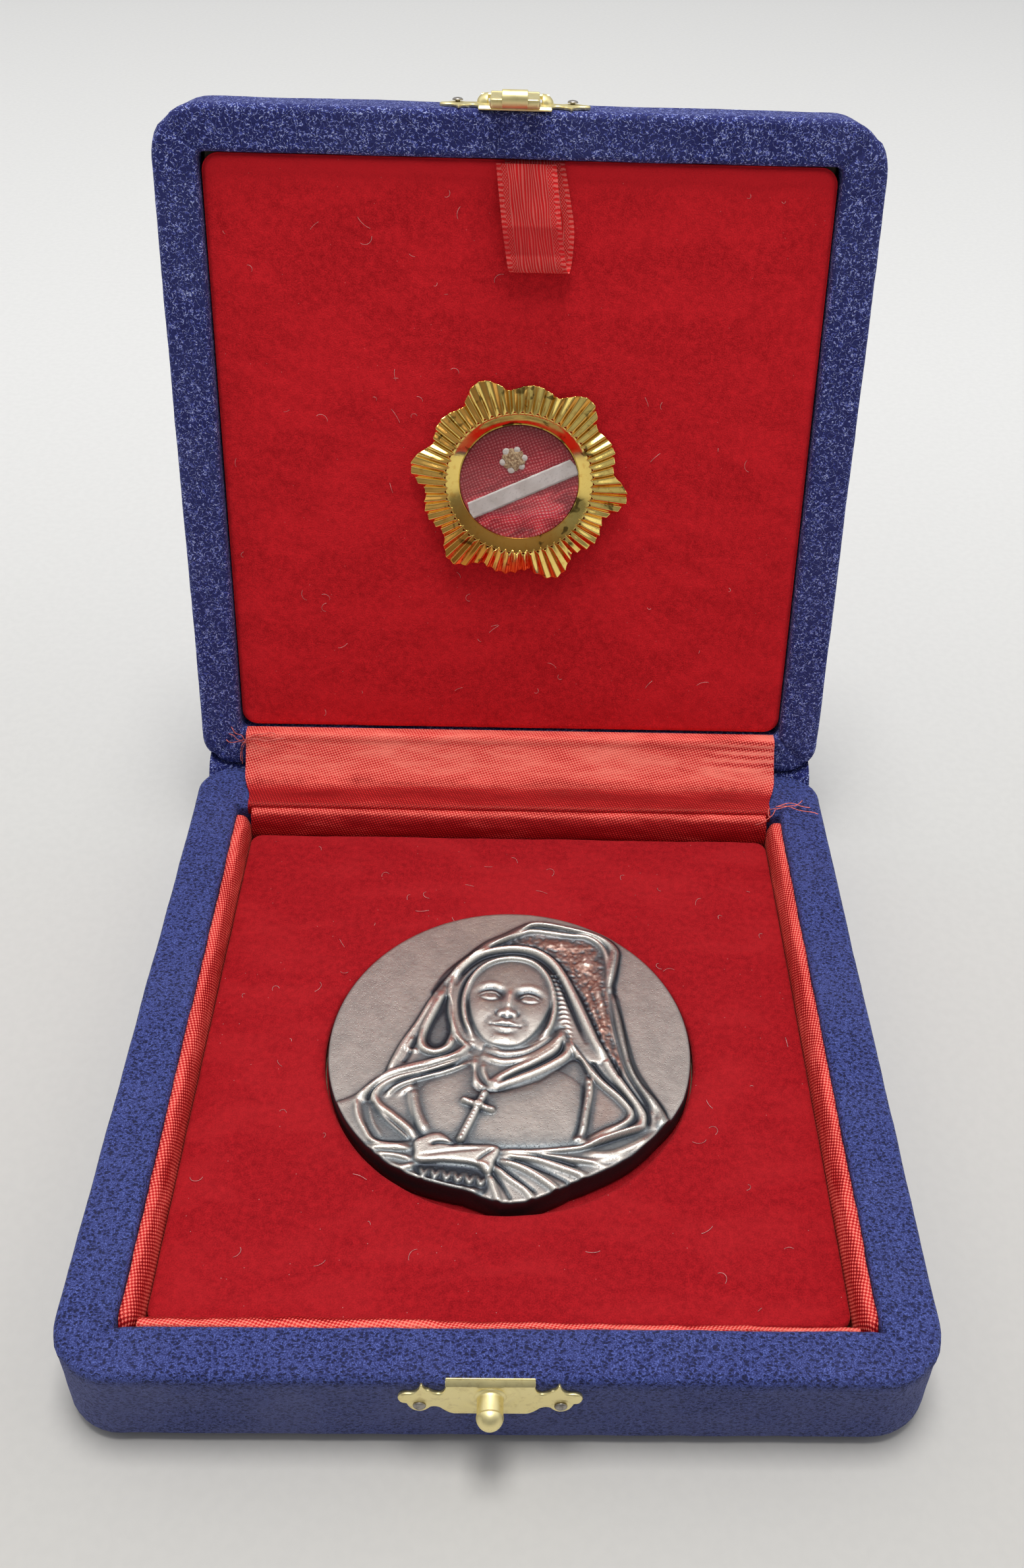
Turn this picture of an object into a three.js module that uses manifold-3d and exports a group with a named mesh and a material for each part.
// A presentation medal in a cloth-covered hinged case, open as it stands on a table.
// Millimetres, +Z up, +Y towards the hinge; the underside's centre is the origin.
import * as THREE from 'three';
import { mergeVertices } from 'three/addons/utils/BufferGeometryUtils.js';
import Module from 'manifold-3d';

const wasm = await Module();
wasm.setup();

// Case: driving sizes
const case_width = 122;
const case_depth = 124;
const base_height = 16.8;
const lid_height = 12.5;
const side_rim = 8.4;
const front_rim = 7.6;
const hinge_rim = 11.3;
const lid_rim = 7.6;
const free_corner = 9;
const hinge_corner = 6.5;
const well_corner = 0.15;
const opened_degrees = 100;
const closing_gap = 0.3;

// Case: boards, cloth and their roundings
const cloth = 0.7;
const skin_gap = 0.12;
const joint_gap = 0.12;
const rim_round = 1.2;
const under_round = 2.6;
const inner_round = 0.9;
const floor_board = 2;
const turn_in = 13;
const sheet_thickness = 0.5;
const sheet_margin = 5;
const cloth_tuck = 3.6;

// Base: pad, bed and satin trims
const pad_drop = 4.7;
const pad_velvet_thickness = 1.2;
const pad_board_thickness = 2.1;
const velvet_round = 0.5;
const trim_thickness = 2.6;
const trim_below_rim = 0.8;
const pad_corner = 2.2;
const bed_thickness = 0.6;

// Medal
const medal_radius = 30;
const medal_thickness = 4;
const relief_height = 1.8;
const medal_chamfer = 0.35;
const recess_clearance = 0.6;
const medal_forward = 1.6;
const medal_shift = 0.7;
const relief_rings = 23;
const relief_spokes = 48;

// Lid: panel and its pull
const panel_recess = 1.5;
const panel_velvet_thickness = 0.9;
const panel_board_thickness = 2.1;
const panel_clearance = 0.3;
const panel_corner = 3;
const lid_well_corner = 1.2;
const panel_round = 0.8;
const ledge_width = 2.5;
const ribbon_width = 10;
const ribbon_thickness = 0.25;
const ribbon_loop = 15;
const ribbon_bulge = 2;
const ribbon_tail = 9;
const ribbon_shift = 0.8;
const ribbon_lean = 2;
const ribbon_bend = 1.1;

// Hinge satin, in a shallow notch of both rims
const satin = 0.35;
const satin_from_side = 8.7;
const satin_end_gap = 0.3;

// Catch: plates, pins, stud and hasp
const catch_shift = -1.2;
const plate_length = 24.8;
const plate_height = 7.5;
const plate_thickness = 0.5;
const plate_setback = 0.25;
const tab_length = 12.1;
const tab_below_rim = 0.08;
const emboss_radius = 3.6;
const emboss_height = 0.25;
const pin_spacing = 19;
const pin_drop = 5.1;
const pin_head_radius = 0.92;
const pin_head_height = 0.45;
const pin_shank_radius = 0.4;
const pin_shank_length = 5;
const shank_clearance = 0.1;
const stud_drop = 2.7;
const stud_radius = 1.9;
const stud_length = 4.4;
const stud_shank_radius = 0.9;
const stud_shank_length = 4;
const hasp_width = 8;
const hasp_reach = 5.7;
const hasp_sheet = 0.45;
const hasp_lift = 0.25;
const hasp_top = 2.3;
const hasp_hole_clearance = 0.3;
const knuckle_radius = 0.95;
const hasp_pin_radius = 0.42;
const hasp_pin_clearance = 0.08;
const hasp_pin_drop = 5.4;
const ear_gap = 0.45;
const ear_radius = 1.9;
const lip_width = 3.8;
const lip_rise = 0.6;

// Brooch
const brooch_radius = 20;
const brooch_up = 60.5;
const brooch_shift = 0.6;
const brooch_off_velvet = 0.9;
const brooch_height = 3;
const leaf_gap = 0.05;
const collar_sheet = 0.3;
const collar_inner_radius = 13.3;
const collar_drop = 1.3;
const needle_above_centre = 5;
const flute_count = 62;
const flute_depth = 0.26;
const large_lobe = 1.75;
const small_lobe = 1.0;
const lobe_turn = -0.148;
const bezel_gap = 0.15;
const window_radius = 10.9;
const window_drop = 0.8;
const back_plate_thickness = 0.25;
const glass_thickness = 0.3;
const glass_rise = 0.85;
const silk_thickness = 0.2;
const paper_width = 3.1;
const paper_thickness = 0.08;
const paper_turn_share = 0.14;
const paper_below_centre = 1.56;
const flower_radius = 2.4;
const flower_height = 0.35;
const flower_above_centre = 3.7;
const flower_left = 1;
const needle_radius = 0.3;
const needle_length = 21;
const catch_block = 1.6;

// Counts of facets
const corner_steps = 4;
const round_steps = 2;
const round_facets = 24;
const small_facets = 12;

const cut_over = 2;

// Heights and lines that follow from the sizes
const base_low = sheet_thickness + skin_gap;
const pad_top = base_height - pad_drop;
const pad_board_top = pad_top - pad_velvet_thickness - skin_gap;
const bed_low = pad_board_top - pad_board_thickness;
const base_floor_top = base_low + cloth + skin_gap + floor_board;
const hinge_height = base_height + closing_gap / 2;
const lid_face = -closing_gap / 2;
const lid_back = lid_face - lid_height;
const panel_face = lid_face - panel_recess;
const panel_back = panel_face - panel_velvet_thickness - skin_gap - panel_board_thickness;
const plate_top = skin_gap + plate_thickness;

// The outlines of base and lid, each with its well
const base_frame = {
  outer: { half: case_width / 2, low: -case_depth / 2, high: case_depth / 2, low_corner: free_corner,
    high_corner: hinge_corner },
  inner: { half: case_width / 2 - side_rim, low: -case_depth / 2 + front_rim,
    high: case_depth / 2 - hinge_rim, low_corner: well_corner, high_corner: well_corner },
};
const lid_frame = {
  outer: { half: case_width / 2, low: 0, high: case_depth, low_corner: hinge_corner,
    high_corner: free_corner },
  inner: { half: case_width / 2 - lid_rim, low: lid_rim, high: case_depth - lid_rim,
    low_corner: lid_well_corner, high_corner: lid_well_corner },
};

function finish(color, roughness, metalness = 0, extra = {}) {
  return new THREE.MeshStandardMaterial({ color, roughness, metalness, ...extra });
}

const blue_crepe = finish(0x27397c, 0.85);
const crimson_velvet = finish(0xa8141f, 0.95);
const red_satin = finish(0xc8303a, 0.4);
const rail_wood = finish(0xb89e75, 0.8);
const card = finish(0xb39e7a, 0.9);
const pale_paper = finish(0xe8e4d8, 0.85);
const oxidised_silver = finish(0xb8aea6, 0.42, 1);
const gilt = finish(0xd9a83a, 0.22, 1);
const brass = finish(0xd2be6e, 0.3, 1);
const nail_steel = finish(0x8f8c86, 0.45, 1);
const clear_glass = finish(0xf4f6f8, 0.05, 0, { transparent: true, opacity: 0.3 });
const dark_silk = finish(0x8c1a2c, 0.6);
const relic_white = finish(0xe5d8c6, 0.8);

// Mesh helpers

function triangles(positions, faces) {
  const geometry = new THREE.BufferGeometry();
  geometry.setAttribute('position', new THREE.Float32BufferAttribute(positions.flat(), 3));
  geometry.setIndex(faces.flat());
  return outward(geometry);
}

function outward(geometry) {
  const at = geometry.getAttribute('position');
  const index = geometry.index.array;
  const a = new THREE.Vector3();
  const b = new THREE.Vector3();
  const c = new THREE.Vector3();
  let volume = 0;
  for (let i = 0; i < index.length; i += 3) {
    a.fromBufferAttribute(at, index[i]);
    b.fromBufferAttribute(at, index[i + 1]);
    c.fromBufferAttribute(at, index[i + 2]);
    volume += a.dot(b.cross(c));
  }
  if (volume < 0) {
    for (let i = 0; i < index.length; i += 3) {
      [index[i + 1], index[i + 2]] = [index[i + 2], index[i + 1]];
    }
  }
  return geometry;
}

function solid(geometry) {
  const plain = geometry.clone();
  plain.deleteAttribute('normal');
  plain.deleteAttribute('uv');
  const welded = outward(mergeVertices(plain.index ? plain : mergeVertices(plain), 1e-4));
  return new wasm.Manifold(new wasm.Mesh({
    numProp: 3,
    vertProperties: new Float32Array(welded.getAttribute('position').array),
    triVerts: new Uint32Array(welded.index.array),
  }));
}

function fromSolid(body) {
  const mesh = body.getMesh();
  const geometry = new THREE.BufferGeometry();
  geometry.setAttribute('position', new THREE.Float32BufferAttribute(mesh.vertProperties, 3));
  geometry.setIndex(Array.from(mesh.triVerts));
  return geometry;
}

function cut(geometry, tools) {
  let body = solid(geometry);
  for (const tool of tools) body = body.subtract(solid(tool));
  return fromSolid(body);
}

function join(geometries) {
  let body = solid(geometries[0]);
  for (const other of geometries.slice(1)) body = body.add(solid(other));
  return fromSolid(body);
}

function common(geometry, other) {
  return fromSolid(solid(geometry).intersect(solid(other)));
}

function block(x0, x1, y0, y1, z0, z1) {
  const geometry = new THREE.BoxGeometry(x1 - x0, y1 - y0, z1 - z0);
  return geometry.translate((x0 + x1) / 2, (y0 + y1) / 2, (z0 + z1) / 2);
}

function addPiece(parent, name, geometry, material) {
  const clean = geometry.clone();
  clean.deleteAttribute('normal');
  clean.deleteAttribute('uv');
  const welded = mergeVertices(clean, 1e-4);
  welded.computeVertexNormals();
  const mesh = new THREE.Mesh(welded, material);
  mesh.name = name;
  parent.add(mesh);
  return mesh;
}

// A rounded rectangle drawn in from its outline by inset, at height z
function ring(outline, inset, z) {
  const half = outline.half - inset;
  const low = outline.low + inset;
  const high = outline.high - inset;
  const low_radius = Math.max(outline.low_corner - inset, joint_gap);
  const high_radius = Math.max(outline.high_corner - inset, joint_gap);
  const corners = [
    [half - low_radius, low + low_radius, low_radius, -0.5],
    [half - high_radius, high - high_radius, high_radius, 0],
    [-half + high_radius, high - high_radius, high_radius, 0.5],
    [-half + low_radius, low + low_radius, low_radius, 1],
  ];
  const points = [];
  for (const [x, y, radius, start] of corners) {
    for (let i = 0; i <= corner_steps; i += 1) {
      const angle = Math.PI * (start + 0.5 * i / corner_steps);
      points.push([x + radius * Math.cos(angle), y + radius * Math.sin(angle), z]);
    }
  }
  return points;
}

// Rings joined into one closed skin: a tube round the frame, or a body capped at both ends
function loft(rings, round = false) {
  const count = rings[0].length;
  const positions = rings.flat();
  const faces = [];
  const bands = round ? rings.length : rings.length - 1;
  for (let k = 0; k < bands; k += 1) {
    const here = k * count;
    const next = ((k + 1) % rings.length) * count;
    for (let i = 0; i < count; i += 1) {
      const j = (i + 1) % count;
      faces.push([here + i, here + j, next + j], [here + i, next + j, next + i]);
    }
  }
  if (!round) {
    for (const [start, flip] of [[0, true], [(rings.length - 1) * count, false]]) {
      for (let i = 1; i < count - 1; i += 1) {
        faces.push(flip ? [start, start + i + 1, start + i] : [start, start + i, start + i + 1]);
      }
    }
  }
  return triangles(positions, faces);
}

function arcShares(steps) {
  return Array.from({ length: steps + 1 }, (_, i) => Math.PI / 2 * i / steps);
}

// The rim from the outer wall's foot, over the top and down the well, at a depth under the cloth's face
function rimPath(frame, depth, low, high, well_end) {
  const rings = [];
  for (const a of arcShares(round_steps)) {
    const r = under_round - depth;
    rings.push(ring(frame.outer, under_round - r * Math.sin(a), low + under_round - r * Math.cos(a)));
  }
  for (const a of arcShares(round_steps)) {
    const r = rim_round - depth;
    rings.push(ring(frame.outer, rim_round - r * Math.cos(a), high - rim_round + r * Math.sin(a)));
  }
  for (const a of arcShares(round_steps)) {
    const r = inner_round - depth;
    rings.push(ring(frame.inner, r * Math.sin(a) - inner_round, high - inner_round + r * Math.cos(a)));
  }
  rings.push(ring(frame.inner, -depth, well_end));
  return rings;
}

// Case: cloth covers, rails and boards

const under_cloth = cloth + skin_gap;
const satin_width = case_width - 2 * satin_from_side;

function baseCover() {
  const well_end = pad_top - cloth_tuck;
  const face = [ring(base_frame.outer, turn_in, base_low),
    ...rimPath(base_frame, 0, base_low, base_height, well_end)];
  const lining = [ring(base_frame.outer, turn_in, base_low + cloth),
    ...rimPath(base_frame, cloth, base_low, base_height, well_end)];
  return loft([...face, ...lining.reverse()], true);
}

function lidCover() {
  const well_end = panel_face - cloth_tuck;
  const face = rimPath(lid_frame, 0, lid_back, lid_face, well_end);
  const lining = rimPath(lid_frame, cloth, lid_back, lid_face, well_end);
  return loft([...face, ...lining.reverse()]);
}

function railRing(frame, low, high, board_top) {
  const path = rimPath(frame, under_cloth, low, high, board_top);
  return loft(path, true);
}

// Four rails cut from the ring: the two along x run full length, the others stand between them
function rails(frame, low, high, board_top) {
  const whole = railRing(frame, low, high, board_top);
  const { outer, inner } = frame;
  const reach = outer.half + cut_over;
  const low_line = inner.low - under_cloth;
  const high_line = inner.high + under_cloth;
  const floor_line = low - cut_over;
  const top_line = high + cut_over;
  return {
    low: common(whole, block(-reach, reach, outer.low - cut_over, low_line, floor_line, top_line)),
    high: common(whole, block(-reach, reach, high_line, outer.high + cut_over, floor_line, top_line)),
    left: common(whole, block(-reach, 0, low_line + joint_gap, high_line - joint_gap, floor_line, top_line)),
    right: common(whole, block(0, reach, low_line + joint_gap, high_line - joint_gap, floor_line, top_line)),
  };
}

// The flat board that closes the case behind the rails
function board(frame, low, top) {
  const edge = -under_cloth + joint_gap;
  return loft([ring(frame.inner, edge, low), ring(frame.inner, edge, top)]);
}

function satinNotch(frame, hinge_side, face) {
  const y0 = hinge_side > 0 ? frame.inner.high - cut_over : -cut_over;
  const y1 = hinge_side > 0 ? frame.outer.high + cut_over : frame.inner.low + cut_over;
  const half = satin_width / 2 + satin_end_gap;
  const strip = block(-half, half, y0, y1, face - under_cloth, face + cut_over);
  return strip;
}

// A satin strip that lies in the notch, with its far edge turned down into the well
function hingeSatin(well_line, hinge_line, face) {
  const top = face - satin_end_gap / 2;
  const section = new THREE.Shape();
  const side = Math.sign(well_line - hinge_line);
  const tuck = well_line + side * (skin_gap + satin);
  const low = top - satin - cloth_tuck / 2;
  section.moveTo(hinge_line, top - satin);
  section.lineTo(well_line + side * skin_gap, top - satin);
  section.lineTo(well_line + side * skin_gap, low);
  section.lineTo(tuck, low);
  section.lineTo(tuck, top - satin / 2);
  section.lineTo(well_line + side * skin_gap, top);
  section.lineTo(hinge_line, top);
  return alongX(section, satin_width);
}

// A section drawn in y and z, extruded along x about the middle
function alongX(section, length, middle = 0) {
  const geometry = new THREE.ExtrudeGeometry(section, { depth: length, bevelEnabled: false });
  const turn = new THREE.Matrix4().makeBasis(
    new THREE.Vector3(0, 1, 0), new THREE.Vector3(0, 0, 1), new THREE.Vector3(1, 0, 0));
  geometry.applyMatrix4(turn);
  return geometry.translate(middle - length / 2, 0, 0);
}

// Base inside: spacer, boards, velvet and satin trims

const trim_line = { ...base_frame.inner, high: base_frame.inner.high - satin - skin_gap,
  low_corner: pad_corner, high_corner: pad_corner };
const pad_edge = trim_thickness + 2 * skin_gap;
const medal_y = (trim_line.low + trim_line.high) / 2 - medal_forward;

// A hole for the medal through the pad, its mouth opened out by the velvet's rounding
function recessHole(low, top, mouth) {
  const r = medal_radius + recess_clearance;
  const profile = [[0, low], [r, low], [r, top - mouth], [r + 0.3 * mouth, top - 0.3 * mouth], [r + mouth, top],
    [r + mouth, top + cut_over], [0, top + cut_over]];
  return revolve(profile, 2 * round_facets).translate(medal_shift, medal_y, 0);
}

function padVelvet() {
  const rings = [ring(trim_line, pad_edge, pad_top - pad_velvet_thickness)];
  for (const a of arcShares(round_steps)) {
    const r = velvet_round;
    rings.push(ring(trim_line, pad_edge + r - r * Math.cos(a), pad_top - r + r * Math.sin(a)));
  }
  return cut(loft(rings), [recessHole(-cut_over, pad_top, velvet_round)]);
}

function padBoard() {
  const inset = pad_edge + velvet_round;
  const slab = loft([ring(trim_line, inset, bed_low), ring(trim_line, inset, pad_board_top)]);
  return cut(slab, [recessHole(-cut_over, pad_board_top, 0)]);
}

function recessBed() {
  const radius = medal_radius + recess_clearance - 2 * skin_gap;
  const geometry = new THREE.CylinderGeometry(radius, radius, bed_thickness, 2 * round_facets);
  geometry.rotateX(Math.PI / 2);
  return geometry.translate(medal_shift, medal_y, bed_low + bed_thickness / 2);
}

function padSpacer() {
  const low = base_floor_top + skin_gap;
  const high = bed_low - skin_gap;
  return loft([ring(base_frame.inner, skin_gap, low), ring(base_frame.inner, skin_gap, high)]);
}

// The trim's section: straight against the wall, swelling towards the pad
function trimSection() {
  const low = bed_low;
  const high = base_height - trim_below_rim;
  const t = trim_thickness;
  const section = new THREE.Shape();
  section.moveTo(0, low);
  section.lineTo(t, low);
  section.lineTo(t, pad_top);
  section.bezierCurveTo(t, (pad_top + high) / 2, t / 2, high, 0, high);
  return section;
}

function trim(length, middle, wall, turn) {
  const geometry = new THREE.ExtrudeGeometry(trimSection(), {
    depth: length, bevelEnabled: false, curveSegments: 5 });
  geometry.translate(skin_gap, 0, -length / 2);
  geometry.rotateX(Math.PI / 2);
  geometry.rotateZ(turn);
  return geometry.translate(wall[0] + middle[0], wall[1] + middle[1], 0);
}

// Medal

const mound_shares = [
  // x, y, half width, half height, turn, height
  [0.06, 0.30, 0.58, 0.62, -0.12, 0.55],
  [-0.02, 0.36, 0.30, 0.37, -0.16, 0.80],
  [0.00, 0.38, 0.22, 0.29, -0.16, 1.00],
  [-0.02, -0.06, 0.24, 0.22, 0.00, 0.62],
  [0.02, -0.52, 0.66, 0.52, 0.00, 0.66],
  [-0.56, -0.42, 0.40, 0.36, 0.45, 0.52],
  [0.60, -0.38, 0.40, 0.44, -0.55, 0.56],
  [-0.30, -0.70, 0.26, 0.13, -0.10, 0.92],
  [-0.18, -0.40, 0.05, 0.13, -0.20, 0.80],
];
const fold_shares = [
  // from x, y, to x, y, half width, height
  [0.42, 0.62, 0.62, -0.10, 0.09, 0.72],
  [0.62, -0.10, 0.80, -0.40, 0.08, 0.68],
  [-0.36, 0.40, -0.50, 0.06, 0.09, 0.62],
  [-0.50, 0.06, -0.74, -0.22, 0.08, 0.58],
  [-0.02, -0.72, 0.62, -0.66, 0.07, 0.80],
  [-0.76, -0.40, -0.34, -0.66, 0.07, 0.70],
];

function relief(x, y) {
  let height = 0;
  for (const [cx, cy, rx, ry, turn, top] of mound_shares) {
    const dx = x - cx;
    const dy = y - cy;
    const u = (dx * Math.cos(turn) + dy * Math.sin(turn)) / rx;
    const v = (dy * Math.cos(turn) - dx * Math.sin(turn)) / ry;
    const inside = 1 - u * u - v * v;
    if (inside > 0) height = Math.max(height, top * Math.sqrt(inside));
  }
  for (const [x0, y0, x1, y1, width, top] of fold_shares) {
    const length_squared = (x1 - x0) ** 2 + (y1 - y0) ** 2;
    const along = THREE.MathUtils.clamp(((x - x0) * (x1 - x0) + (y - y0) * (y1 - y0)) / length_squared, 0, 1);
    const away = Math.hypot(x - x0 - along * (x1 - x0), y - y0 - along * (y1 - y0)) / width;
    if (away < 1) height = Math.max(height, top * (1 - away * away));
  }
  return height;
}

function medalBody() {
  const positions = [[0, 0, medal_thickness + relief_height * relief(0, 0)]];
  const faces = [];
  for (let k = 1; k <= relief_rings; k += 1) {
    const radius_share = k / relief_rings;
    for (let i = 0; i < relief_spokes; i += 1) {
      const angle = 2 * Math.PI * i / relief_spokes;
      const x = radius_share * Math.cos(angle);
      const y = radius_share * Math.sin(angle);
      const inner = medal_radius - medal_chamfer;
      const fade = THREE.MathUtils.clamp((1 - radius_share) * relief_rings / 2, 0, 1);
      positions.push([x * inner, y * inner, medal_thickness + relief_height * relief(x, y) * fade]);
    }
  }
  const edge = [[medal_radius, medal_thickness - medal_chamfer], [medal_radius, medal_chamfer],
    [medal_radius - medal_chamfer, 0]];
  for (const [radius, z] of edge) {
    for (let i = 0; i < relief_spokes; i += 1) {
      const angle = 2 * Math.PI * i / relief_spokes;
      positions.push([radius * Math.cos(angle), radius * Math.sin(angle), z]);
    }
  }
  const middle = positions.push([0, 0, 0]) - 1;
  const ring_count = relief_rings + edge.length;
  for (let i = 0; i < relief_spokes; i += 1) {
    const j = (i + 1) % relief_spokes;
    faces.push([0, 1 + i, 1 + j]);
    for (let k = 0; k < ring_count - 1; k += 1) {
      const here = 1 + k * relief_spokes;
      const next = here + relief_spokes;
      faces.push([here + i, next + i, next + j], [here + i, next + j, here + j]);
    }
    const last = 1 + (ring_count - 1) * relief_spokes;
    faces.push([middle, last + j, last + i]);
  }
  return triangles(positions, faces);
}

// Lid inside: panel and ribbon

const panel_outline = {
  half: lid_frame.inner.half - panel_clearance,
  low: lid_frame.inner.low + panel_clearance + satin,
  high: lid_frame.inner.high - panel_clearance,
  low_corner: panel_corner,
  high_corner: panel_corner,
};

// Strips round the lid's well that the panel rests on
function ledgeStrips(low, top) {
  const { half, low: hinge_line, high: front_line } = lid_frame.inner;
  const x = half - lid_well_corner * 0.3 - joint_gap;
  const y0 = hinge_line + lid_well_corner * 0.3 + joint_gap;
  const y1 = front_line - lid_well_corner * 0.3 - joint_gap;
  const w = ledge_width;
  return {
    front: block(-x, x, y1 - w, y1, low, top),
    hinge: block(-x, x, y0, y0 + w, low, top),
    left: block(-x, w - x, y0 + w + joint_gap, y1 - w - joint_gap, low, top),
    right: block(x - w, x, y0 + w + joint_gap, y1 - w - joint_gap, low, top),
  };
}

function panelVelvet() {
  const velvet = panel_velvet_thickness;
  const rings = [];
  for (const a of arcShares(round_steps + 1)) {
    const r = panel_round;
    rings.push(ring(panel_outline, r - r * Math.sin(a), panel_face - r + r * Math.cos(a)));
  }
  const skirt = panel_back + panel_board_thickness / 2;
  const wrap = velvet / 2;
  rings.push(ring(panel_outline, 0, skirt), ring(panel_outline, wrap, skirt));
  rings.push(ring(panel_outline, wrap, panel_face - velvet));
  return loft(rings);
}

function panelBoard() {
  const edge = panel_velvet_thickness / 2 + skin_gap;
  const top = panel_back + panel_board_thickness;
  return loft([ring(panel_outline, edge, panel_back), ring(panel_outline, edge, top)]);
}

// The ribbon's middle line in y and z: from its glued tail over the panel's edge, down, and back up
function ribbonLine() {
  const edge = panel_outline.high;
  const over = edge + panel_clearance / 2;
  const under = panel_back - skin_gap - ribbon_thickness / 2;
  const behind = panel_face + skin_gap + ribbon_thickness / 2;
  const foot = edge - ribbon_loop;
  const line = new THREE.CurvePath();
  const at = (y, z) => new THREE.Vector2(y, z);
  const stitch = behind + 2 * ribbon_thickness;
  line.add(new THREE.LineCurve(at(edge - ribbon_tail, under), at(over - ribbon_thickness, under)));
  line.add(new THREE.QuadraticBezierCurve(at(over - ribbon_thickness, under), at(over, under),
    at(over, under + ribbon_thickness)));
  line.add(new THREE.LineCurve(at(over, under + ribbon_thickness), at(over, behind - ribbon_thickness)));
  line.add(new THREE.QuadraticBezierCurve(at(over, behind - ribbon_thickness), at(over, behind),
    at(over - ribbon_thickness, behind)));
  line.add(new THREE.LineCurve(at(over - ribbon_thickness, behind), at(foot + ribbon_bend, behind)));
  line.add(new THREE.CubicBezierCurve(at(foot + ribbon_bend, behind), at(foot - ribbon_bend / 2, behind),
    at(foot - ribbon_bend / 2, behind + ribbon_bulge), at(foot + ribbon_bend, behind + ribbon_bulge)));
  line.add(new THREE.CubicBezierCurve(at(foot + ribbon_bend, behind + ribbon_bulge),
    at(foot + ribbon_loop / 3, behind + ribbon_bulge), at(edge - ribbon_loop / 3, stitch),
    at(edge - ribbon_thickness, stitch)));
  return line;
}

function pullRibbon() {
  const stops = [];
  for (const curve of ribbonLine().curves) {
    const steps = curve.isLineCurve ? 1 : 6;
    for (const point of curve.getPoints(steps)) {
      const last = stops[stops.length - 1];
      if (!last || last.distanceTo(point) > ribbon_thickness / 10) stops.push(point);
    }
  }
  const sides = [[], []];
  stops.forEach((point, i) => {
    const before = stops[Math.max(i - 1, 0)];
    const after = stops[Math.min(i + 1, stops.length - 1)];
    const way = after.clone().sub(before).normalize();
    const across = new THREE.Vector2(-way.y, way.x).multiplyScalar(ribbon_thickness / 2);
    sides[0].push(point.clone().add(across));
    sides[1].push(point.clone().sub(across));
  });
  const section = new THREE.Shape([...sides[0], ...sides[1].reverse()]);
  const geometry = alongX(section, ribbon_width, ribbon_shift);
  const at = geometry.getAttribute('position');
  for (let i = 0; i < at.count; i += 1) {
    const down = (panel_outline.high - at.getY(i)) / ribbon_loop;
    const out = at.getZ(i) > panel_face ? 1 : 0;
    at.setX(i, at.getX(i) + ribbon_lean * Math.max(down, 0) * out);
  }
  return geometry;
}

// Catch: drawn in its own frame, x along the rim, y away from the rim, z out of the cloth

// Half the plate's outline as curves: control point and end, along half its length and down its height
const plate_start_shares = [0.49, 0.24];
const plate_curve_shares = [
  [0.61, 0.46, 0.71, 0.13],
  [0.74, 0.00, 0.76, 0.00],
  [0.82, 0.32, 1.00, 0.46],
  [0.90, 0.60, 0.87, 0.79],
  [0.85, 0.92, 0.77, 0.89],
  [0.61, 0.66, 0.50, 0.88],
  [0.45, 1.00, 0.40, 1.00],
];

function plateShape() {
  const place = (x, y) => new THREE.Vector2(x * plate_length / 2,
    plate_setback + y * (plate_height - plate_setback));
  const right = [place(...plate_start_shares)];
  for (const [cx, cy, x, y] of plate_curve_shares) {
    const from = right[right.length - 1];
    const curve = new THREE.QuadraticBezierCurve(from, place(cx, cy), place(x, y));
    right.push(...curve.getPoints(4).slice(1));
  }
  const left = right.map((point) => new THREE.Vector2(-point.x, point.y)).reverse();
  return new THREE.Shape([...right, ...left]);
}

function tube(radius, z0, z1, x = 0, y = 0, facets = small_facets) {
  const geometry = new THREE.CylinderGeometry(radius, radius, z1 - z0, facets);
  geometry.rotateX(Math.PI / 2);
  return geometry.translate(x, y, (z0 + z1) / 2);
}

// The tab that hooks the plate over the rounded edge of the rim
function plateTab() {
  const inside = rim_round + skin_gap;
  const outside = inside + plate_thickness;
  const flat_share = 0.2;
  const last = Math.acos((tab_below_rim - rim_round) / outside);
  const turns = Array.from({ length: 6 }, (_, i) => THREE.MathUtils.lerp(Math.PI / 2, last, i / 5));
  const bend = (radius) => turns.map((a) => new THREE.Vector2(
    rim_round + radius * Math.cos(a), -rim_round + radius * Math.sin(a)));
  const foot = rim_round + flat_share * plate_height;
  const start = [new THREE.Vector2(foot, skin_gap), new THREE.Vector2(foot, plate_top)];
  return alongX(new THREE.Shape([...start, ...bend(outside), ...bend(inside).reverse()]), tab_length);
}

function blankPlate() {
  const flat = new THREE.ExtrudeGeometry(plateShape(), { depth: plate_thickness, bevelEnabled: false });
  flat.translate(0, 0, skin_gap);
  const hole = pin_shank_radius + shank_clearance;
  const holes = [-1, 1].map((side) => tube(hole, -cut_over, cut_over, side * pin_spacing / 2, pin_drop));
  return cut(join([flat, plateTab()]), holes);
}

function basePlate() {
  const rise = [[stud_radius, 0], [emboss_radius, 0], [emboss_radius - emboss_height, emboss_height],
    [stud_radius, emboss_height], [stud_radius, 0]];
  const emboss = new THREE.LatheGeometry(rise.map(([r, z]) => new THREE.Vector2(r, z)), round_facets);
  emboss.rotateX(Math.PI / 2);
  emboss.translate(0, stud_drop, plate_top - emboss_height / 2);
  const below_tab = block(-plate_height, plate_height, rim_round, 2 * plate_height, 0, plate_height);
  const hole = tube(stud_shank_radius + shank_clearance, -cut_over, cut_over, 0, stud_drop);
  return cut(join([blankPlate(), common(emboss, below_tab)]), [hole]);
}

const hasp_pin_lift = plate_top + knuckle_radius + skin_gap;

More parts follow.
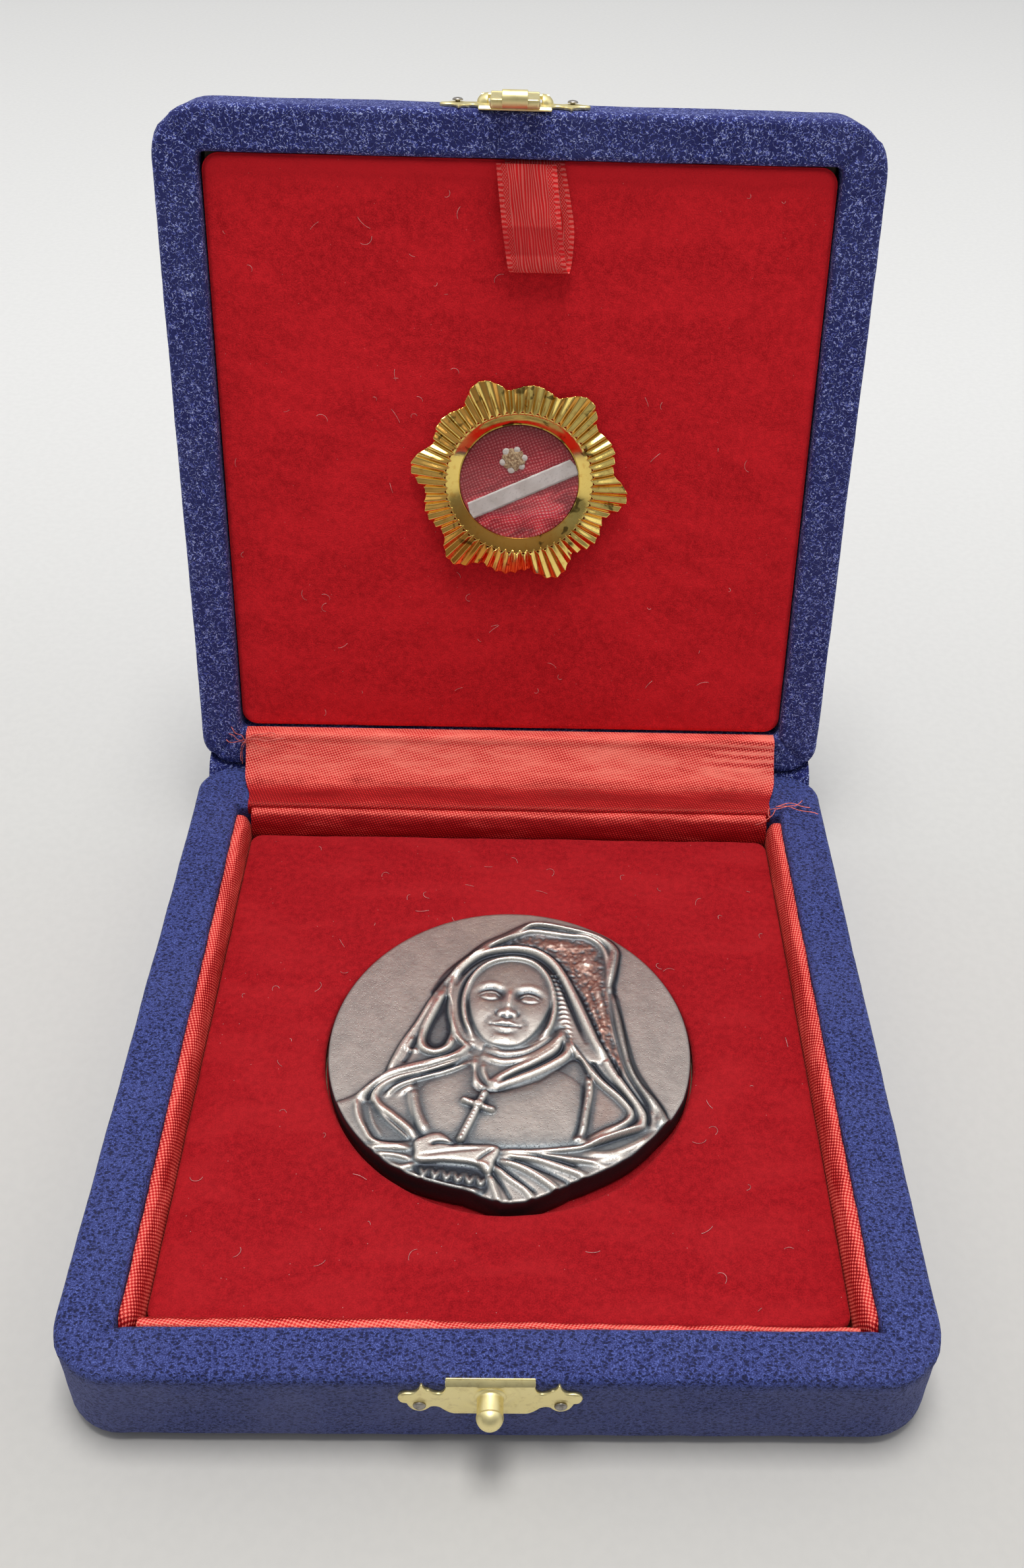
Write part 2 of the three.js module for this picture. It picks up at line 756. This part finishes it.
function ear(side) {
  const x = side * (hasp_width / 2 + ear_gap);
  const dome = new THREE.SphereGeometry(ear_radius, small_facets, small_facets / 2);
  dome.scale(1, 1, (hasp_top - plate_thickness) / ear_radius);
  dome.translate(x, hasp_pin_drop, plate_thickness);
  const keep_far = x + side * ear_radius * 2;
  const keep = block(Math.min(x, keep_far), Math.max(x, keep_far), 0, plate_height, plate_thickness, plate_height);
  return common(dome, keep);
}

function alongPin(radius, x0, x1) {
  const geometry = new THREE.CylinderGeometry(radius, radius, x1 - x0, small_facets);
  geometry.rotateZ(Math.PI / 2);
  return geometry.translate((x0 + x1) / 2, hasp_pin_drop, hasp_pin_lift);
}

const hasp_pin_half = hasp_width / 2 + ear_gap + ear_radius * 0.6;

function lidPlate() {
  const bore = alongPin(hasp_pin_radius + hasp_pin_clearance, -hasp_pin_half - shank_clearance,
    hasp_pin_half + shank_clearance);
  return cut(join([blankPlate(), ear(-1), ear(1)]), [bore]);
}

// The hasp: a shallow pressed shell hanging from its knuckle, with a curled finger lip
function haspBody() {
  const half = hasp_width / 2;
  const foot = plate_top + hasp_lift;
  const shell = join([
    block(-half, half, -hasp_reach, hasp_pin_drop, hasp_top - hasp_sheet, hasp_top),
    block(-half, half, -hasp_reach, -hasp_reach + hasp_sheet, foot, hasp_top),
    block(-half, -half + hasp_sheet, -hasp_reach, hasp_pin_drop, foot, hasp_top),
    block(half - hasp_sheet, half, -hasp_reach, hasp_pin_drop, foot, hasp_top),
    alongPin(knuckle_radius, -half, half),
    fingerLip(),
  ]);
  const stud_hole = tube(stud_radius + hasp_hole_clearance, -cut_over, cut_over + hasp_top, 0,
    -closing_gap - stud_drop, round_facets);
  const bore = alongPin(hasp_pin_radius + hasp_pin_clearance, -half - cut_over, half + cut_over);
  return cut(shell, [stud_hole, bore]);
}

function fingerLip() {
  const foot = plate_top + hasp_lift;
  const outer = (hasp_top + lip_rise - foot) / 2;
  const inner = outer - hasp_sheet;
  const centre_z = foot + outer;
  const inside = -hasp_reach + hasp_sheet / 2;
  const turns = Array.from({ length: 9 }, (_, i) => Math.PI * (0.4 + 1.1 * i / 8));
  const curl = (radius) => turns.map((a) => new THREE.Vector2(
    -hasp_reach + radius * Math.cos(a), centre_z + radius * Math.sin(a)));
  const root = [new THREE.Vector2(inside, foot), new THREE.Vector2(inside, foot + hasp_sheet)];
  return alongX(new THREE.Shape([...curl(outer), ...root, ...curl(inner).reverse()]), lip_width);
}

function revolve(points, facets) {
  const geometry = new THREE.LatheGeometry(points.map(([r, z]) => new THREE.Vector2(r, z)), facets);
  return geometry.rotateX(Math.PI / 2);
}

// A small nail, its shank going into the rail
function platePin(side) {
  const r = pin_head_radius;
  const h = pin_head_height;
  const profile = [[0, -pin_shank_length], [pin_shank_radius, -pin_shank_length + pin_shank_radius],
    [pin_shank_radius, 0], [r * 0.9, 0], [r, h * 0.4], [r * 0.7, h * 0.9], [0, h]];
  return revolve(profile, small_facets).translate(side * pin_spacing / 2, pin_drop, plate_top + skin_gap);
}

function catchStud() {
  const r = stud_radius;
  const profile = [[0, -stud_shank_length], [stud_shank_radius, -stud_shank_length], [stud_shank_radius, 0],
    [r * 0.94, 0], [r * 0.94, stud_length - r]];
  for (let i = 0; i <= 6; i += 1) {
    const a = Math.PI / 2 * i / 6;
    profile.push([r * Math.cos(a), stud_length - r + r * Math.sin(a)]);
  }
  return revolve(profile, round_facets).translate(0, stud_drop, plate_top + emboss_height);
}

function shankHoles(with_stud) {
  const radius = pin_shank_radius + shank_clearance;
  const deep = pin_shank_length + cut_over;
  const holes = [-1, 1].map((side) => tube(radius, -deep, cut_over, side * pin_spacing / 2, pin_drop));
  if (with_stud) holes.push(tube(stud_shank_radius + shank_clearance, -deep, cut_over, 0, stud_drop));
  return holes;
}

// Brooch: drawn with z out of the velvet from its face, centred on the window

const crest = brooch_height;
const rim_level = crest - collar_drop;
const back_top = brooch_off_velvet + back_plate_thickness;

// Outer edge of the collar: six large lobes with six small ones between
function collarEdge(angle) {
  const large = Math.max(Math.cos(6 * (angle - lobe_turn)), 0) ** 1.3;
  const small = Math.max(-Math.cos(6 * (angle - lobe_turn)), 0) ** 1.6;
  return brooch_radius - large_lobe - small_lobe + large_lobe * large + small_lobe * small
    + small_lobe * (large > 0 ? large : 0);
}

function broochCollar() {
  const steps = flute_count * 2;
  const lines = 3;
  const sides = [];
  for (const face of [1, 0]) {
    for (let k = 0; k < lines; k += 1) {
      const share = face ? k / (lines - 1) : 1 - k / (lines - 1);
      const points = [];
      for (let i = 0; i < steps; i += 1) {
        const angle = 2 * Math.PI * i / steps;
        const wave = (i % 2 ? -1 : 1) * flute_depth * Math.min(1, 3 * share + 0.25);
        const radius = THREE.MathUtils.lerp(collar_inner_radius, collarEdge(angle), share);
        const z = crest - flute_depth - collar_drop * share ** 1.2 + wave - (face ? 0 : collar_sheet);
        points.push([radius * Math.cos(angle), radius * Math.sin(angle), z]);
      }
      sides.push(points);
    }
  }
  return loft(sides, true);
}

const silk_low = back_top + leaf_gap;
const silk_top = silk_low + silk_thickness;
const glass_low = silk_top + paper_thickness + 2 * leaf_gap;
const glass_seat = glass_low + glass_thickness;
const window_level = crest - window_drop;

function broochBezel() {
  const outer = collar_inner_radius - bezel_gap;
  const lip = collar_sheet;
  const inside = window_radius - lip;
  const profile = [
    [window_radius, back_top + leaf_gap], [outer - lip, back_top + leaf_gap], [outer, back_top + lip],
    [outer, crest - lip - flute_depth], [outer - lip, crest - flute_depth],
    [window_radius + lip, window_level + lip / 2], [inside, window_level],
    [inside, glass_seat + leaf_gap], [window_radius, glass_seat + leaf_gap],
  ];
  profile.push(profile[0]);
  return revolve(profile, 2 * round_facets);
}

function broochGlass() {
  const radius = window_radius - bezel_gap;
  const dome = window_radius - collar_sheet - bezel_gap;
  const profile = [];
  const steps = 4;
  for (let i = 0; i <= steps; i += 1) {
    const share = i / steps;
    profile.push([dome * share, glass_low + glass_rise * (1 - share * share)]);
  }
  profile.push([radius, glass_low], [radius, glass_seat]);
  for (let i = steps; i >= 0; i -= 1) {
    const share = i / steps;
    profile.push([dome * share, glass_seat + glass_rise * (1 - share * share)]);
  }
  return revolve(profile, round_facets);
}

function disc(radius, low, thickness, facets = 2 * round_facets) {
  return tube(radius, low, low + thickness, 0, 0, facets);
}

function broochPaper() {
  const widest = paper_below_centre + paper_width / 2;
  const reach = Math.sqrt((window_radius - bezel_gap) ** 2 - widest ** 2) - bezel_gap;
  const low = silk_top + leaf_gap;
  const strip = block(-reach, reach, -widest, paper_width - widest, low, low + paper_thickness);
  return strip.rotateZ(Math.PI * paper_turn_share);
}

function broochFlower() {
  const points = [];
  const steps = 48;
  for (let i = 0; i < steps; i += 1) {
    const angle = 2 * Math.PI * i / steps;
    const radius = flower_radius * (0.8 + 0.2 * Math.cos(6 * angle));
    points.push(new THREE.Vector2(radius * Math.cos(angle), radius * Math.sin(angle)));
  }
  const geometry = new THREE.ExtrudeGeometry(new THREE.Shape(points), {
    depth: flower_height, bevelEnabled: false });
  return geometry.translate(-flower_left, flower_above_centre, silk_top + leaf_gap);
}

function broochNeedle() {
  const level = brooch_off_velvet - skin_gap - needle_radius;
  const profile = [[0, -needle_length / 2], [needle_radius, -needle_length / 2],
    [needle_radius, needle_length / 2 - 4 * needle_radius], [0, needle_length / 2]];
  const geometry = new THREE.LatheGeometry(profile.map(([r, z]) => new THREE.Vector2(r, z)), small_facets / 2);
  geometry.rotateZ(-Math.PI / 2);
  return geometry.translate(0, needle_above_centre, level);
}

// Back plate with the hinge block and the catch block that hold the needle
function broochBack() {
  const plate = disc(collar_inner_radius - bezel_gap, brooch_off_velvet, back_plate_thickness);
  const level = brooch_off_velvet - skin_gap - needle_radius;
  const reach = needle_length / 2 - catch_block;
  const low = level - needle_radius - skin_gap / 2;
  const ends = [-1, 1].map((side) => block(side * reach - catch_block / 2, side * reach + catch_block / 2,
    needle_above_centre - catch_block / 2, needle_above_centre + catch_block / 2, low, brooch_off_velvet + skin_gap));
  const bore = new THREE.CylinderGeometry(needle_radius + skin_gap / 2, needle_radius + skin_gap / 2,
    needle_length + cut_over, small_facets / 2);
  bore.rotateZ(Math.PI / 2);
  bore.translate(0, needle_above_centre, level);
  return cut(join([plate, ...ends]), [bore]);
}

// Assembly

const model = new THREE.Group();

function addBase() {
  const base = new THREE.Group();
  model.add(base);
  const catch_place = new THREE.Matrix4().makeRotationFromEuler(new THREE.Euler(Math.PI / 2, 0, Math.PI));
  catch_place.setPosition(catch_shift, -case_depth / 2, base_height);
  const holes = shankHoles(true).map((hole) => hole.applyMatrix4(catch_place));
  const notch = satinNotch(base_frame, 1, base_height);
  const rail = rails(base_frame, base_low, base_height, base_low + under_cloth);
  addPiece(base, 'base_cover', cut(baseCover(), [...holes, notch]), blue_crepe);
  addPiece(base, 'base_front_rail', cut(rail.low, holes), rail_wood);
  addPiece(base, 'base_hinge_rail', cut(rail.high, [notch]), rail_wood);
  addPiece(base, 'base_left_rail', rail.left, rail_wood);
  addPiece(base, 'base_right_rail', rail.right, rail_wood);
  addPiece(base, 'base_floor_board', board(base_frame, base_low + under_cloth, base_floor_top), card);
  const sheet = loft([ring(base_frame.outer, sheet_margin, 0), ring(base_frame.outer, sheet_margin, sheet_thickness)]);
  addPiece(base, 'base_underside_sheet', sheet, blue_crepe);
  addPiece(base, 'pad_spacer', padSpacer(), card);
  addPiece(base, 'pad_board', padBoard(), card);
  addPiece(base, 'pad_velvet', padVelvet(), crimson_velvet);
  addPiece(base, 'recess_bed', recessBed(), crimson_velvet);
  const { half, low, high } = trim_line;
  const side_length = high - low - 2 * skin_gap;
  const cross_length = 2 * half - 2 * pad_edge;
  const middle_y = (low + high) / 2;
  addPiece(base, 'trim_left', trim(side_length, [0, middle_y], [-half, 0], 0), red_satin);
  addPiece(base, 'trim_right', trim(side_length, [0, middle_y], [half, 0], Math.PI), red_satin);
  addPiece(base, 'trim_front', trim(cross_length, [0, 0], [0, low], Math.PI / 2), red_satin);
  addPiece(base, 'trim_back', trim(cross_length, [0, 0], [0, high], -Math.PI / 2), red_satin);
  const satin_piece = hingeSatin(base_frame.inner.high, case_depth / 2 - satin_end_gap, base_height);
  addPiece(base, 'hinge_satin_base', satin_piece, red_satin);
  const hardware = new THREE.Group();
  hardware.applyMatrix4(catch_place);
  base.add(hardware);
  addPiece(hardware, 'base_catch_plate', basePlate(), brass);
  addPiece(hardware, 'catch_stud', catchStud(), brass);
  addPiece(hardware, 'base_plate_pin_left', platePin(1), nail_steel);
  addPiece(hardware, 'base_plate_pin_right', platePin(-1), nail_steel);
}

function addMedal() {
  const medal = new THREE.Group();
  medal.position.set(medal_shift, medal_y, bed_low + bed_thickness + skin_gap);
  model.add(medal);
  addPiece(medal, 'medal', medalBody(), oxidised_silver);
}

function addLid() {
  const lid = new THREE.Group();
  lid.position.set(0, case_depth / 2, hinge_height);
  lid.rotation.x = THREE.MathUtils.degToRad(180 - opened_degrees);
  model.add(lid);
  const catch_place = new THREE.Matrix4().makeRotationX(-Math.PI / 2);
  catch_place.setPosition(catch_shift, case_depth, lid_face);
  const holes = shankHoles(false).map((hole) => hole.applyMatrix4(catch_place));
  const notch = satinNotch(lid_frame, -1, lid_face);
  const board_top = lid_back + under_cloth + floor_board;
  const rail = rails(lid_frame, lid_back, lid_face, lid_back + under_cloth);
  addPiece(lid, 'lid_cover', cut(lidCover(), [...holes, notch]), blue_crepe);
  addPiece(lid, 'lid_front_rail', cut(rail.high, holes), rail_wood);
  addPiece(lid, 'lid_hinge_rail', cut(rail.low, [notch]), rail_wood);
  addPiece(lid, 'lid_left_rail', rail.left, rail_wood);
  addPiece(lid, 'lid_right_rail', rail.right, rail_wood);
  addPiece(lid, 'lid_back_board', board(lid_frame, lid_back + under_cloth, board_top), card);
  const ledge_top = panel_back - skin_gap - ribbon_thickness - skin_gap;
  for (const [name, strip] of Object.entries(ledgeStrips(board_top + skin_gap, ledge_top))) {
    addPiece(lid, `panel_ledge_${name}`, strip, card);
  }
  addPiece(lid, 'hinge_satin_lid', hingeSatin(lid_rim, satin_end_gap, lid_face), red_satin);
  const hardware = new THREE.Group();
  hardware.applyMatrix4(catch_place);
  lid.add(hardware);
  addPiece(hardware, 'lid_catch_plate', lidPlate(), brass);
  addPiece(hardware, 'lid_plate_pin_left', platePin(-1), nail_steel);
  addPiece(hardware, 'lid_plate_pin_right', platePin(1), nail_steel);
  addPiece(hardware, 'hasp_pin', alongPin(hasp_pin_radius, -hasp_pin_half, hasp_pin_half), brass);
  addPiece(hardware, 'hasp', haspBody(), brass);
  addPiece(lid, 'panel_board', panelBoard(), card);
  addPiece(lid, 'panel_velvet', panelVelvet(), crimson_velvet);
  addPiece(lid, 'pull_ribbon', pullRibbon(), red_satin);
  const brooch = new THREE.Group();
  brooch.position.set(brooch_shift, brooch_up, panel_face);
  lid.add(brooch);
  addPiece(brooch, 'brooch_collar', broochCollar(), gilt);
  addPiece(brooch, 'brooch_bezel', broochBezel(), gilt);
  addPiece(brooch, 'brooch_glass', broochGlass(), clear_glass);
  addPiece(brooch, 'brooch_silk', disc(window_radius - bezel_gap, silk_low, silk_thickness), dark_silk);
  addPiece(brooch, 'brooch_paper', broochPaper(), pale_paper);
  addPiece(brooch, 'brooch_flower', broochFlower(), relic_white);
  addPiece(brooch, 'brooch_back', broochBack(), gilt);
  addPiece(brooch, 'brooch_needle', broochNeedle(), nail_steel);
}

addBase();
addMedal();
addLid();

export default model;
